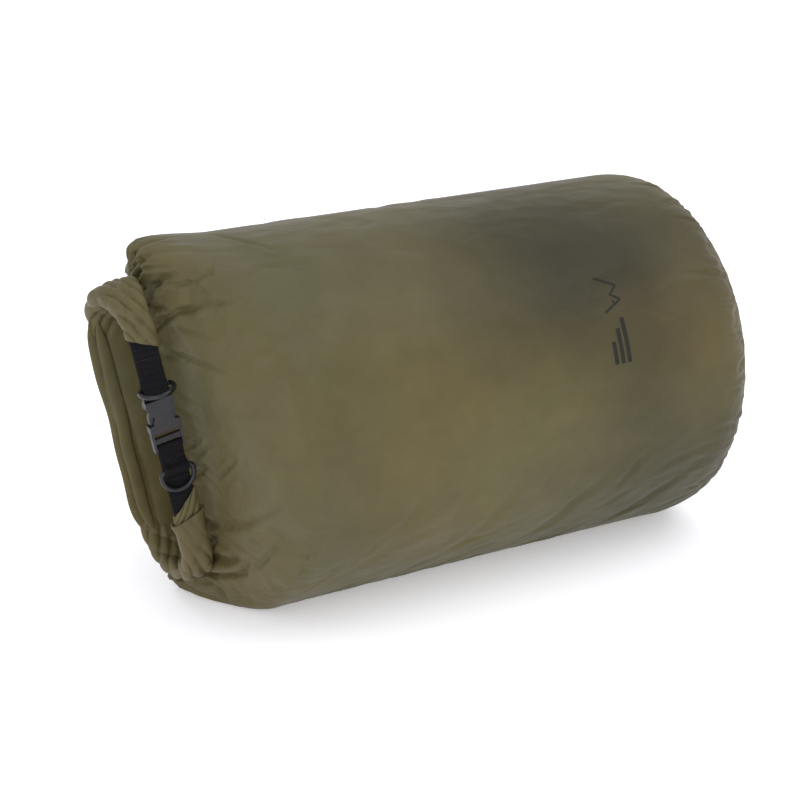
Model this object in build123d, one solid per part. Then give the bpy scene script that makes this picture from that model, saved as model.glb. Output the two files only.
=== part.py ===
"""Roll-top stuff sack, lying on its side with its mouth rolled down and buckled.

Millimetres. +X points from the mouth to the base, +Z is up and the buckle faces -Y.
Everything is first built in the bag's own length coordinates and moved at the end, so
that the origin is the middle of the box that the sack fills, on the ground.
"""
import os
from math import cos, radians, sin

from build123d import *

# ---- bag ----
BAG_DIAMETER = 300.0        # filled tube
SAG = 8.0                   # how far the filled tube has settled onto its flat underside
NECK_TO_BASE = 456.0        # from the flattened neck to the base seam, along the axis
FABRIC = 1.0                # coated fabric outside the seam tapes, with its seam allowance
NECK_LENGTH = 50.0          # wedge between the flattened neck and the full tube
BASE_EDGE_RADIUS = 130.0    # radius of the base seam
BASE_DOME = 9.0             # bulge of the base panel
BASE_ROUNDING = 38.0        # length over which the tube narrows to the base seam
TAPE_THICKNESS = 0.4
TAPE_WIDTH = 22.0
SIDE_TAPE_LENGTH = 300.0

# ---- rolled mouth, bent round into a closed loop ----
LEAN = 11.0                 # degrees, top of the loop leans away from the bag
LOOP_HEIGHT = 250.0         # outside, along the loop's long side
LOOP_DEPTH = 72.0           # outside, front to back
ROLL_WIDTH = 47.0           # rolled hem, along the bag's axis
ROLL_THICKNESS = 12.0
ROLL_EDGE = 5.0             # rounding of the roll's edges
LOOP_CENTRE_Y = -20.0
LOOP_CENTRE_HEIGHT = 154.0
NECK_GAP = 0.5              # between the roll and the neck behind it
NECK_THICKNESS = 14.0       # pleated neck where it enters the roll
NECK_MARGIN = 12.0          # neck is this much shorter than the loop at each end
ARM_WIDTH = 28.0            # roll where it is gathered round the webbing, in front
STIFFENER_WIDTH = 20.0
STIFFENER_THICKNESS = 1.2
STIFFENER_OFFSET = 1.6      # from the middle of the roll's thickness, outwards
STIFFENER_SHORT = 10.0      # shorter than the roll's straight run at each end
HEM_OFFSET = -1.0           # webbing in the hem, from the middle of the roll's thickness
HEM_SHORT = 5.0
POCKET_CLEARANCE = 0.2

# ---- webbing and hardware, 20 mm class ----
WEBBING_WIDTH = 20.0
WEBBING_OFFSET = -1.0       # webbing's middle from the roll's middle, towards the bag
WEBBING_THICKNESS = 1.5
SEWN_IN = 15.0              # length of webbing hidden in each arm of the roll
BUCKLE_LINE = 16.0          # height of the line where socket and plug meet, from the loop's centre
UPPER_WEBBING = 50.0        # arm of the roll to the socket's shoulder
LOWER_WEBBING = 48.5        # end of the plug to the arm of the roll
POCKET_MOUTH = 1.0          # cut made past the arm's end so that the webbing's pocket is open
BAR_DIAMETER = 3.0          # bars of the buckle that webbing goes round
RUNNING_CLEARANCE = 0.3

SOCKET_LENGTH = 26.0
SOCKET_SIDE = 2.5            # socket wider than the webbing by this at each side
SOCKET_THICKNESS = 8.0
SOCKET_WAIST = 13.0
SOCKET_WALL = 1.2
SOCKET_MOUTH_BAND = 7.0     # closed band below the side windows
SOCKET_CAVITY_DEPTH = 21.5
SOCKET_CAVITY_HEIGHT = 4.8
SOCKET_THROAT = 12.5        # mouth to the narrowest place of the waist
SOCKET_WAIST_FLARE = 2.0    # half the extra width of the waist where it meets the band
SOCKET_SHOULDER_TAPER = 1.5 # narrowing of the shoulder at each side
SOCKET_SHOULDER_EDGE = 3.0  # height of the shoulder's straight side
WINDOW_RADIUS = 9.0         # side window below the waist
FLANK_RADIUS = 16.0         # side window above the waist
CHEEK_SINK = 0.5            # how far the cheeks that hold the bar reach into the shoulder

PLUG_BASE_LENGTH = 16.5
PLUG_THICKNESS = 5.0
PLUG_RAIL = 1.9
PLUG_CROSSBAR = 4.8
PLUG_SLOT = 3.8
PLUG_SLOT_INSET = 1.4       # slot's top below the plug's top
PLUG_BAR_INSET = 1.2        # end bar's surface above the rails' ends
PLUG_SIDE_GAP = 0.2         # rails inside the socket's width
PLUG_FIT = 0.3              # crossbar inside the cavity's width, at each side
RAIL_STEP = 1.0             # rails are thinner and longer by this at their ends
RIDGED_BAR = 3.8
RIDGE_DIAMETER = 1.1
RIDGE_COUNT = 10
PRONG_THICKNESS = 4.0
PRONG_ROOT_RADIUS = 1.4
PRONG_ROOT_OFFSET = 7.6     # root pivot from the buckle's centre line
GUIDE_WIDTH = 4.5
GUIDE_LENGTH = 14.0
GUIDE_STEP = 0.4            # guide is thinner than the prongs by this at each face
BAR_GRIP = 0.1              # webbing clear of the plug's end bar

RING_BAR = 3.75
RING_PLAY = 2.5             # eye wider than the webbing
RING_INNER_DEPTH = 14.0
RING_CORNER = 3.0
UPPER_RING_ABOVE_BAR = 5.0  # ring's bar above the socket's bar, in the same webbing loop
LOWER_RING_BELOW_PLUG = 16.5
STITCH = (2.0, 0.4, 0.7)    # across the webbing, proud of it, along it
STITCHES_PER_ROW = 7
STITCH_MARGIN = 1.5         # outer stitches from the webbing's edges
STITCH_ROWS = (4.0, 11.0)   # below the end of the upper arm
EYE_STITCH = 7.0            # rows above and below the lower ring's bar

# ---- worked-out sizes ----
RADIUS = BAG_DIAMETER / 2
AXIS_HEIGHT = RADIUS - SAG
HALF_ROLL = ROLL_WIDTH / 2
STRAIGHT_HALF = (LOOP_HEIGHT - LOOP_DEPTH) / 2
FRONT_Y = -(LOOP_DEPTH - ROLL_THICKNESS) / 2
BACK_Y = -FRONT_Y
WEBBING_PAIR = 2 * WEBBING_THICKNESS

SOCKET_MOUTH_Z = BUCKLE_LINE
SOCKET_SHOULDER_Z = SOCKET_MOUTH_Z + SOCKET_LENGTH
LOOP_HOLE = RING_BAR + 2 * RUNNING_CLEARANCE
SOCKET_BAR_Z = SOCKET_SHOULDER_Z + LOOP_HOLE / 2 + WEBBING_THICKNESS + RUNNING_CLEARANCE
UPPER_RING_Z = SOCKET_BAR_Z + UPPER_RING_ABOVE_BAR
UPPER_ARM_END = SOCKET_SHOULDER_Z + UPPER_WEBBING
PLUG_TOP_Z = BUCKLE_LINE - RUNNING_CLEARANCE
PLUG_END_Z = PLUG_TOP_Z - PLUG_BASE_LENGTH
PLUG_BAR_Z = PLUG_END_Z + BAR_DIAMETER / 2 + PLUG_BAR_INSET
PLUG_SLOT_TOP = PLUG_TOP_Z - PLUG_SLOT_INSET
LOWER_RING_Z = PLUG_END_Z - LOWER_RING_BELOW_PLUG
LOWER_ARM_END = PLUG_END_Z - LOWER_WEBBING
RING_HALF_WIDTH = (WEBBING_WIDTH + RING_PLAY + RING_BAR) / 2
LOWER_RING_Y = FRONT_Y - WEBBING_PAIR / 2 - RING_BAR / 2 - 2 * RUNNING_CLEARANCE
SOCKET_WIDTH = WEBBING_WIDTH + 2 * SOCKET_SIDE
CAVITY_HALF_WIDTH = SOCKET_WIDTH / 2 - SOCKET_WALL
PRONG_ROOT_Z = PLUG_SLOT_TOP + PLUG_CROSSBAR + 2 * RUNNING_CLEARANCE + PRONG_ROOT_RADIUS
FAR = LOOP_HEIGHT           # past the loop's surface on every axis

# The loop's own frame: X along the roll's width, Y front to back, Z along the webbing.
# Webbing and hardware are made about X = 0 and then moved by the webbing's offset.
LOOP = Location((0, LOOP_CENTRE_Y, LOOP_CENTRE_HEIGHT), (0, -LEAN, 0))


def block(x, y, z):
    """Box given by its (low, high) limits on each axis."""
    centre = [(low + high) / 2 for low, high in (x, y, z)]
    return Pos(*centre) * Box(x[1] - x[0], y[1] - y[0], z[1] - z[0])


def station(x, lean, half_width, half_height, y=0.0, z=AXIS_HEIGHT):
    """One oval section of the bag, its plane leaning by the given angle."""
    normal = (cos(radians(lean)), 0, sin(radians(lean)))
    return Plane(origin=(x, y, z), x_dir=(0, 1, 0), z_dir=normal) * Ellipse(half_width, half_height)


def neck_form():
    """Wedge from the flattened neck, behind the roll, to the full round tube."""
    neck_x = (HALF_ROLL + NECK_GAP) * cos(radians(LEAN))
    neck_z = LOOP_CENTRE_HEIGHT + (HALF_ROLL + NECK_GAP) * sin(radians(LEAN))
    back = LOOP_CENTRE_Y + BACK_Y
    rise = neck_z - AXIS_HEIGHT
    neck_half_height = LOOP_HEIGHT / 2 - NECK_MARGIN
    sections = [station(neck_x, LEAN, NECK_THICKNESS / 2, neck_half_height, back, neck_z)]
    # share of the neck's length, of the lean, of the half width, of the half height,
    # of the neck's offset to the back, and of its rise above the axis
    shoulder = (
        (0.11, 0.92, 0.40, 0.940, 0.6, 0.6),
        (0.30, 0.70, 0.70, 0.985, 0.3, 0.3),
        (0.58, 0.40, 0.89, 0.998, 0.0, 0.1),
    )
    for share, lean, wide, high, offset, lift in shoulder:
        sections.append(station(
            neck_x + share * NECK_LENGTH, lean * LEAN, wide * RADIUS, high * RADIUS,
            offset * back, AXIS_HEIGHT + lift * rise,
        ))
    full = Plane(origin=(neck_x + NECK_LENGTH, 0, AXIS_HEIGHT), x_dir=(0, 1, 0), z_dir=(1, 0, 0))
    sections.append(full * Circle(RADIUS))
    return loft(sections), neck_x


def body_panel():
    """The tube and what is stuffed into it, as one closed solid that lies on a flat underside."""
    neck, neck_x = neck_form()
    base_x = neck_x + NECK_TO_BASE
    start = neck_x + NECK_LENGTH
    round_x = base_x - BASE_ROUNDING
    drop = RADIUS - BASE_EDGE_RADIUS
    with BuildPart() as tube:
        with BuildSketch(Plane.XY):
            with BuildLine():
                Line((start, 0), (start, RADIUS))
                Line((start, RADIUS), (round_x, RADIUS))
                EllipticalCenterArc((round_x, BASE_EDGE_RADIUS), BASE_ROUNDING, drop, arc_size=90)
                Line((base_x, BASE_EDGE_RADIUS), (base_x, 0))
                Line((base_x, 0), (start, 0))
            make_face()
        revolve(axis=Axis.X)
    body = neck + Pos(0, 0, AXIS_HEIGHT) * tube.part
    below = (-BAG_DIAMETER, 0)
    body -= block((-BAG_DIAMETER, base_x + BAG_DIAMETER), (-BAG_DIAMETER, BAG_DIAMETER), below)
    body -= base_seam_tape(base_x, POCKET_CLEARANCE)
    body -= side_seam_tape(base_x, POCKET_CLEARANCE)
    return body, base_x


def base_panel(base_x):
    """Disc of fabric sewn to the tube's end, pushed out into a shallow dome."""
    sphere = (BASE_EDGE_RADIUS ** 2 + BASE_DOME ** 2) / (2 * BASE_DOME)
    with BuildPart() as panel:
        with BuildSketch(Plane.XY):
            with BuildLine():
                RadiusArc((base_x, BASE_EDGE_RADIUS), (base_x + BASE_DOME, 0), sphere)
                Line((base_x + BASE_DOME, 0), (base_x, 0))
                Line((base_x, 0), (base_x, BASE_EDGE_RADIUS))
            make_face()
        revolve(axis=Axis.X)
    return Pos(0, 0, AXIS_HEIGHT) * panel.part


def base_seam_tape(base_x, grow=0.0):
    """Flat ring that seals the base seam from the inside."""
    outer = BASE_EDGE_RADIUS - 2 * FABRIC
    ring = Circle(outer + grow) - Circle(outer - TAPE_WIDTH / 2 - grow)
    inside = base_x - FABRIC - TAPE_THICKNESS / 2
    start = Plane(origin=(inside, 0, AXIS_HEIGHT), z_dir=(1, 0, 0))
    return extrude(start * ring, TAPE_THICKNESS / 2 + grow, both=True)


def side_seam_tape(base_x, grow=0.0):
    """Strip that seals the long seam, inside the back of the tube."""
    face = RADIUS - FABRIC - 2 * TAPE_THICKNESS
    end = base_x - BASE_ROUNDING
    return block(
        (end - SIDE_TAPE_LENGTH - grow, end + grow),
        (face - TAPE_THICKNESS - grow, face + grow),
        (AXIS_HEIGHT - TAPE_WIDTH / 2 - grow, AXIS_HEIGHT + TAPE_WIDTH / 2 + grow),
    )


def loop_form():
    """The whole closed loop of rolled fabric before the webbing's stretch is left open."""
    outer = SlotOverall(LOOP_HEIGHT, LOOP_DEPTH, rotation=90)
    inner = SlotOverall(
        LOOP_HEIGHT - 2 * ROLL_THICKNESS, LOOP_DEPTH - 2 * ROLL_THICKNESS, rotation=90
    )
    ring = extrude(Plane.YZ * (outer - inner), HALF_ROLL, both=True)
    rims = [e for e in ring.edges() if abs(abs(e.center().X) - HALF_ROLL) < 0.01]
    return fillet(rims, ROLL_EDGE)


def mouth_roll(loop):
    """Straight back run of the roll, which the neck goes into, with its stiffener's pocket."""
    back = block((-FAR, FAR), (0, FAR), (-STRAIGHT_HALF, STRAIGHT_HALF))
    c = POCKET_CLEARANCE
    pocket = stiffener_strip(c) + hem_webbing(c)
    return (loop & back) - pocket


def stiffener_strip(grow=0.0):
    """Plastic strip in the mouth's hem, at the heart of the roll."""
    length = 2 * (STRAIGHT_HALF - STIFFENER_SHORT + grow)
    return Pos(0, BACK_Y + STIFFENER_OFFSET, 0) * Box(
        STIFFENER_WIDTH + 2 * grow, STIFFENER_THICKNESS + 2 * grow, length)


def hem_webbing(grow=0.0):
    """Webbing sewn along the mouth's hem beside the stiffener."""
    length = 2 * (STRAIGHT_HALF - HEM_SHORT + grow)
    return Pos(0, BACK_Y + HEM_OFFSET, 0) * Box(
        WEBBING_WIDTH + 2 * grow, WEBBING_THICKNESS + 2 * grow, length)


def sewn_end(z_low, z_high, grow):
    """Space that the doubled webbing takes up inside an arm of the roll."""
    middle = WEBBING_OFFSET
    return block(
        (middle - WEBBING_WIDTH / 2 - grow, middle + WEBBING_WIDTH / 2 + grow),
        (FRONT_Y - WEBBING_PAIR / 2 - grow, FRONT_Y + WEBBING_PAIR / 2 + grow),
        (z_low, z_high),
    )


def gathering():
    """Keeps the roll's full width at the back and narrows it to the arms in front."""
    inner = FRONT_Y + ROLL_THICKNESS / 2
    low, high = WEBBING_OFFSET - ARM_WIDTH / 2, WEBBING_OFFSET + ARM_WIDTH / 2
    plan = Polyline(
        (-HALF_ROLL, 0), (-HALF_ROLL, FAR), (HALF_ROLL, FAR), (HALF_ROLL, 0),
        (high, inner), (high, -FAR), (low, -FAR), (low, inner), close=True,
    )
    return extrude(make_face(plan), FAR, both=True)


def upper_roll_arm(loop):
    """Top bend of the roll and its short arm down to the upper webbing."""
    back = block((-FAR, FAR), (0, FAR), (STRAIGHT_HALF, FAR))
    front = block((-FAR, FAR), (-FAR, 0), (UPPER_ARM_END, FAR))
    c = POCKET_CLEARANCE
    sewn = sewn_end(UPPER_ARM_END - POCKET_MOUTH, UPPER_ARM_END + SEWN_IN + c, c)
    return (loop & (back + front) & gathering()) - sewn


def lower_roll_arm(loop):
    """Bottom bend of the roll and its arm up to the lower webbing."""
    back = block((-FAR, FAR), (0, FAR), (-FAR, -STRAIGHT_HALF))
    front = block((-FAR, FAR), (-FAR, 0), (-FAR, LOWER_ARM_END))
    c = POCKET_CLEARANCE
    sewn = sewn_end(LOWER_ARM_END - SEWN_IN - c, LOWER_ARM_END + POCKET_MOUTH, c)
    return (loop & (back + front) & gathering()) - sewn


def across(sketch):
    """Webbing's side profile, drawn front to back and along the webbing, made to its width."""
    return extrude(Plane.YZ * sketch, WEBBING_WIDTH / 2, both=True)


def upper_strap():
    """Doubled webbing whose loop holds the socket's bar and the upper ring's bar."""
    middle = (SOCKET_BAR_Z + UPPER_RING_Z) / 2
    span = UPPER_RING_Z - SOCKET_BAR_Z
    outer = Pos(FRONT_Y, middle) * SlotCenterToCenter(
        span, LOOP_HOLE + 2 * WEBBING_THICKNESS, rotation=90)
    hole = Pos(FRONT_Y, middle) * SlotCenterToCenter(span, LOOP_HOLE, rotation=90)
    top = UPPER_ARM_END + SEWN_IN
    run = Pos(FRONT_Y, (top + UPPER_RING_Z) / 2) * Rectangle(WEBBING_PAIR, top - UPPER_RING_Z)
    return across(run + outer - hole)


def lower_strap():
    """Doubled webbing from the plug's end bar to the lower arm, with an eye for the lower ring."""
    grip = BAR_DIAMETER / 2 + BAR_GRIP
    end = Pos(FRONT_Y, PLUG_BAR_Z) * Circle(grip + WEBBING_THICKNESS)
    hole = Pos(FRONT_Y, PLUG_BAR_Z) * Circle(grip)
    eye = Pos(LOWER_RING_Y, LOWER_RING_Z) * Circle(LOOP_HOLE / 2 + WEBBING_THICKNESS)
    eye_hole = Pos(LOWER_RING_Y, LOWER_RING_Z) * Circle(LOOP_HOLE / 2)
    bottom = LOWER_ARM_END - SEWN_IN
    run = Pos(FRONT_Y, (PLUG_BAR_Z + bottom) / 2) * Rectangle(WEBBING_PAIR, PLUG_BAR_Z - bottom)
    return across(run + end + eye - hole - eye_hole)


def stitching(rows):
    """Rows of raised stitches across the front of the webbing."""
    across_size, proud, along = STITCH
    pitch = (WEBBING_WIDTH - 2 * STITCH_MARGIN) / STITCHES_PER_ROW
    face = FRONT_Y - WEBBING_PAIR / 2 - proud / 2
    stitches = []
    for z in rows:
        for i in range(STITCHES_PER_ROW):
            x = (i - (STITCHES_PER_ROW - 1) / 2) * pitch
            stitches.append(Pos(x, face, z) * Box(across_size, proud, along))
    return Compound(children=stitches)


def buckle_socket():
    """Female half: two faces joined at the shoulder and the mouth band, with side windows."""
    half, waist = SOCKET_WIDTH / 2, SOCKET_WAIST / 2
    mouth = SOCKET_MOUTH_Z
    band = mouth + SOCKET_MOUTH_BAND
    throat = mouth + SOCKET_THROAT
    shoulder = SOCKET_SHOULDER_Z
    flare = waist + SOCKET_WAIST_FLARE
    wide, top = half - SOCKET_SHOULDER_TAPER / 2, half - SOCKET_SHOULDER_TAPER
    edge = shoulder - SOCKET_SHOULDER_EDGE
    with BuildSketch(Plane.XZ) as face:
        with BuildLine():
            Polyline((-flare, band), (-half, band - 1), (-half, mouth))
            Polyline((-half, mouth), (half, mouth), (half, band - 1), (flare, band))
            RadiusArc((flare, band), (waist, throat), -WINDOW_RADIUS)
            RadiusArc((waist, throat), (wide, edge), -FLANK_RADIUS)
            Polyline((wide, edge), (top, shoulder), (-top, shoulder), (-wide, edge))
            RadiusArc((-wide, edge), (-waist, throat), -FLANK_RADIUS)
            RadiusArc((-waist, throat), (-flare, band), -WINDOW_RADIUS)
        make_face()
    body = Pos(0, FRONT_Y, 0) * extrude(face.sketch, SOCKET_THICKNESS / 2, both=True)
    cavity = block(
        (-CAVITY_HALF_WIDTH, CAVITY_HALF_WIDTH),
        (FRONT_Y - SOCKET_CAVITY_HEIGHT / 2, FRONT_Y + SOCKET_CAVITY_HEIGHT / 2),
        (mouth - SOCKET_WALL, mouth + SOCKET_CAVITY_DEPTH),
    )
    body -= cavity
    cheek_half = WEBBING_WIDTH / 2 + RUNNING_CLEARANCE
    thickness = top - cheek_half
    foot = shoulder - CHEEK_SINK
    for side in (-1, 1):
        x = side * (cheek_half + top) / 2
        cheek = Box(thickness, BAR_DIAMETER, SOCKET_BAR_Z - foot)
        body += Pos(x, FRONT_Y, (SOCKET_BAR_Z + foot) / 2) * cheek
        end = Rot(0, 90, 0) * Cylinder(BAR_DIAMETER / 2, thickness)
        body += Pos(x, FRONT_Y, SOCKET_BAR_Z) * end
    bar = Pos(0, FRONT_Y, SOCKET_BAR_Z) * Rot(0, 90, 0) * Cylinder(BAR_DIAMETER / 2, 2 * cheek_half)
    return body + bar


def buckle_plug():
    """Male half without its prongs: frame, ridged bar, end bar and centre guide."""
    half = SOCKET_WIDTH / 2 - PLUG_SIDE_GAP
    inner = half - PLUG_RAIL
    deep = (FRONT_Y - PLUG_THICKNESS / 2, FRONT_Y + PLUG_THICKNESS / 2)
    slim = (deep[0] + RAIL_STEP, deep[1] - RAIL_STEP)
    thin = (FRONT_Y - PRONG_THICKNESS / 2, FRONT_Y + PRONG_THICKNESS / 2)
    ridged_top = PLUG_SLOT_TOP - PLUG_SLOT
    guide_base = PLUG_SLOT_TOP + PLUG_CROSSBAR
    crossbar_half = CAVITY_HALF_WIDTH - PLUG_FIT
    plug = block((-crossbar_half, crossbar_half), thin, (PLUG_SLOT_TOP, guide_base))
    for low, high in ((-half, -inner), (inner, half)):
        plug += block((low, high), deep, (PLUG_END_Z + RAIL_STEP, PLUG_TOP_Z))
        plug += block((low, high), slim, (PLUG_END_Z, PLUG_TOP_Z))
    plug += block((-inner, inner), thin, (ridged_top - RIDGED_BAR, ridged_top))
    pitch = 2 * inner / RIDGE_COUNT
    for i in range(RIDGE_COUNT):
        x = (i - (RIDGE_COUNT - 1) / 2) * pitch
        ridge = Pos(x, thin[0], ridged_top - RIDGED_BAR / 2)
        plug += ridge * Cylinder(RIDGE_DIAMETER / 2, RIDGED_BAR)
    plug += Pos(0, FRONT_Y, PLUG_BAR_Z) * Rot(0, 90, 0) * Cylinder(BAR_DIAMETER / 2, 2 * inner)
    narrow = (thin[0] + GUIDE_STEP, thin[1] - GUIDE_STEP)
    guide = (guide_base, guide_base + GUIDE_LENGTH)
    return plug + block((-GUIDE_WIDTH / 2, GUIDE_WIDTH / 2), narrow, guide)


def plug_prong(side):
    """Springy prong: pivot at its root, wing in the socket's window."""
    x, z = PRONG_ROOT_OFFSET, PRONG_ROOT_Z
    wing = CAVITY_HALF_WIDTH - RUNNING_CLEARANCE
    window = SOCKET_MOUTH_Z + SOCKET_MOUTH_BAND
    r = PRONG_ROOT_RADIUS
    # how far in from the wing's outer face, and how far above the window's lower edge
    wing_points = ((1.4, -0.4), (0, 0.6), (0, 6.5), (2.4, 12.5), (4.2, 12.5), (3.6, 5.0))
    points = [(wing - inset, window + above) for inset, above in wing_points]
    face = make_face(Polyline((x - r, z), (x + r, z), *points, close=True))
    face += Pos(x, z) * Circle(r)
    prong = extrude(Plane.XZ * face, PRONG_THICKNESS / 2, both=True)
    prong = Pos(0, FRONT_Y, 0) * prong
    return prong if side > 0 else mirror(prong, Plane.YZ)


def d_ring():
    """Metal D with its straight bar on the X axis and its arc towards +Y."""
    w, c = RING_HALF_WIDTH, RING_CORNER
    far = RING_INNER_DEPTH + RING_BAR
    arc_y = far - w
    with BuildPart() as ring:
        with BuildLine() as path:
            Line((0, 0), (w - c, 0))
            JernArc((w - c, 0), (1, 0), c, 90)
            Line((w, c), (w, arc_y))
            JernArc((w, arc_y), (0, 1), w, 180)
            Line((-w, arc_y), (-w, c))
            JernArc((-w, c), (0, -1), c, 90)
            Line((-w + c, 0), (0, 0))
        with BuildSketch(Plane(origin=(0, 0, 0), z_dir=(1, 0, 0))):
            Circle(RING_BAR / 2)
        sweep()
    return ring.part


def build():
    """All sub-parts by name, with the origin under the middle of the whole sack."""
    body, base_x = body_panel()
    parts = {
        "body_panel": body,
        "base_panel": base_panel(base_x),
        "base_seam_tape": base_seam_tape(base_x),
        "side_seam_tape": side_seam_tape(base_x),
    }
    loop = loop_form()
    upper_rows = [UPPER_ARM_END - below for below in STITCH_ROWS]
    lower_rows = (LOWER_RING_Z + EYE_STITCH, LOWER_RING_Z - EYE_STITCH)
    in_loop = {
        "mouth_roll": mouth_roll(loop),
        "stiffener_strip": stiffener_strip(),
        "hem_webbing": hem_webbing(),
        "upper_roll_arm": upper_roll_arm(loop),
        "lower_roll_arm": lower_roll_arm(loop),
    }
    on_webbing = {
        "upper_strap": upper_strap(),
        "lower_strap": lower_strap(),
        "upper_strap_stitching": stitching(upper_rows),
        "lower_strap_stitching": stitching(lower_rows),
        "buckle_socket": buckle_socket(),
        "buckle_plug": buckle_plug(),
        "plug_prong_left": plug_prong(-1),
        "plug_prong_right": plug_prong(1),
        "upper_d_ring": Pos(0, FRONT_Y, UPPER_RING_Z) * Rot(0, 0, 180) * d_ring(),
        "lower_d_ring": Pos(0, LOWER_RING_Y, LOWER_RING_Z) * Rot(-90, 0, 0) * d_ring(),
    }
    for name, solid in in_loop.items():
        parts[name] = LOOP * solid
    for name, solid in on_webbing.items():
        parts[name] = LOOP * Pos(WEBBING_OFFSET, 0, 0) * solid
    boxes = [solid.bounding_box() for solid in parts.values()]
    low = min(box.min.X for box in boxes)
    high = max(box.max.X for box in boxes)
    shift = Pos(-(low + high) / 2, 0, 0)
    return {name: shift * solid for name, solid in parts.items()}, shift


def main():
    os.makedirs("parts", exist_ok=True)
    parts, shift = build()
    for name, solid in parts.items():
        export_step(solid, f"parts/{name}.step")
    print("shift along X", shift.position.X)


if __name__ == "__main__":
    main()
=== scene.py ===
"""Roll-top stuff sack lying on its side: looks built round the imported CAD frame.

Metres, in the row's frame: +X from the mouth to the base, +Z up, the buckle faces -Y.
"""
from math import cos, pi, radians, sin

import bmesh
import bpy
import numpy as np
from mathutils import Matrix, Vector


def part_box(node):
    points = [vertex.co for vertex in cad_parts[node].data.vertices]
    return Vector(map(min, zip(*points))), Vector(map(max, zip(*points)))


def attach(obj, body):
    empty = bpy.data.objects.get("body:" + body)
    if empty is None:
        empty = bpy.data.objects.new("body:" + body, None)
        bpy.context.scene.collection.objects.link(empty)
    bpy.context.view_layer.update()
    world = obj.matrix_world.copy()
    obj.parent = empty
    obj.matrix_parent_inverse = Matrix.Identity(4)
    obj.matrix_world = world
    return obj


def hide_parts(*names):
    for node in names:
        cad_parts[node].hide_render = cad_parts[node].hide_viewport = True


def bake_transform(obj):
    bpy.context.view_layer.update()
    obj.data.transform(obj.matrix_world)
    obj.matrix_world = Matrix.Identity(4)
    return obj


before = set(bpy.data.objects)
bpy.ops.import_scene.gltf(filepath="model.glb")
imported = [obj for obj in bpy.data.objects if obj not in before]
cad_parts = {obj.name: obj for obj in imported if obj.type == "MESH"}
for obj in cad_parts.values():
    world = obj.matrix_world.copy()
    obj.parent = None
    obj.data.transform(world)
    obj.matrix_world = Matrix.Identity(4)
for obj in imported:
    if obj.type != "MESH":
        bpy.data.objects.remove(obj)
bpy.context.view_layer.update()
MM = 0.001

# ---- the sack's form, read from the CAD nodes ----
BODY_LOW, BODY_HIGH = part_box("body_panel")
RADIUS = (BODY_HIGH.y - BODY_LOW.y) / 2
AXIS_Z = BODY_HIGH.z - RADIUS
BASE_X = BODY_HIGH.x
SEAM_RADIUS = 130 * MM
BASE_ROUNDING = 38 * MM
BASE_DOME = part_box("base_panel")[1].x - BASE_X
NECK_TO_BASE = 456 * MM
NECK_LENGTH = 50 * MM
NECK_X = BASE_X - NECK_TO_BASE
NECK_HALF_THICK = 7 * MM
NECK_HALF_HEIGHT = 113 * MM
NECK_RISE = 16.6 * MM           # the neck's middle above the tube's axis
NECK_ARC = 160 * MM             # length of fabric in the wedge, measured at the sides
LEAN = radians(11)
SACK_MIDDLE = (0, 0, AXIS_Z)

# ---- the rolled mouth's own frame: X along the roll's width, Z along the webbing ----
LOOP_ORIGIN = np.array([-0.22125, -0.020, 0.154])
LOOP_X = np.array([cos(LEAN), 0, sin(LEAN)])
LOOP_Y = np.array([0.0, 1.0, 0.0])
LOOP_Z = np.array([-sin(LEAN), 0, cos(LEAN)])
ROLL_WIDTH = 47 * MM
ROLL_THICK = 12 * MM
MID_RADIUS = 30 * MM            # of the roll's bends, at the middle of its thickness
STRAIGHT_HALF = 89 * MM
WEBBING_X = -1 * MM
WEBBING_WIDTH = 20 * MM
WEBBING_THICK = 1.5 * MM
UPPER_ARM_END = 92 * MM
LOWER_ARM_END = -49.3 * MM
SOCKET_BAR_Z = 45.98 * MM
UPPER_RING_Z = 50.98 * MM
PLUG_BAR_Z = 1.9 * MM
LOWER_RING_Z = -17.3 * MM


def loop_point(x, y, z):
    """Row-frame point of one in the rolled mouth's frame. Takes numbers or arrays."""
    x, y, z = np.broadcast_arrays(x, y, z)
    return (LOOP_ORIGIN + x[..., None] * LOOP_X + y[..., None] * LOOP_Y + z[..., None] * LOOP_Z)


# =============================== camera, light, floor ===============================

def aim(obj, target):
    direction = Vector(target) - obj.location
    obj.rotation_euler = direction.to_track_quat("-Z", "Y").to_euler()


def make_camera():
    data = bpy.data.cameras.new("camera")
    data.lens = 85.5
    data.sensor_width = 36
    camera = bpy.data.objects.new("camera", data)
    bpy.context.scene.collection.objects.link(camera)
    camera.location = (-0.69760, -1.29531, 0.71781)
    aim(camera, (0.00275, 0, 0.1319))
    bpy.context.scene.camera = camera


def area_light(name, location, target, size, power, colour=(1, 1, 1)):
    data = bpy.data.lights.new(name, "AREA")
    data.shape = "DISK"
    data.size = size
    data.energy = power
    data.color = colour
    light = bpy.data.objects.new(name, data)
    bpy.context.scene.collection.objects.link(light)
    light.location = location
    aim(light, target)


def make_lights():
    world = bpy.data.worlds.new("studio")
    world.use_nodes = True
    background = world.node_tree.nodes["Background"]
    background.inputs["Color"].default_value = (0.95, 0.96, 1.0, 1)
    background.inputs["Strength"].default_value = 1.0
    bpy.context.scene.world = world
    middle = (0, 0, 0.12)
    area_light("key", (0.75, -0.75, 1.9), middle, 1.3, 8)
    area_light("top", (-0.3, 0.5, 1.9), middle, 1.5, 3)
    area_light("fill", (-1.6, -1.4, 0.8), middle, 1.6, 11, (0.97, 0.97, 1.0))
    bpy.context.scene.view_settings.view_transform = "Standard"
    bpy.context.scene.view_settings.look = "None"


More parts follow.
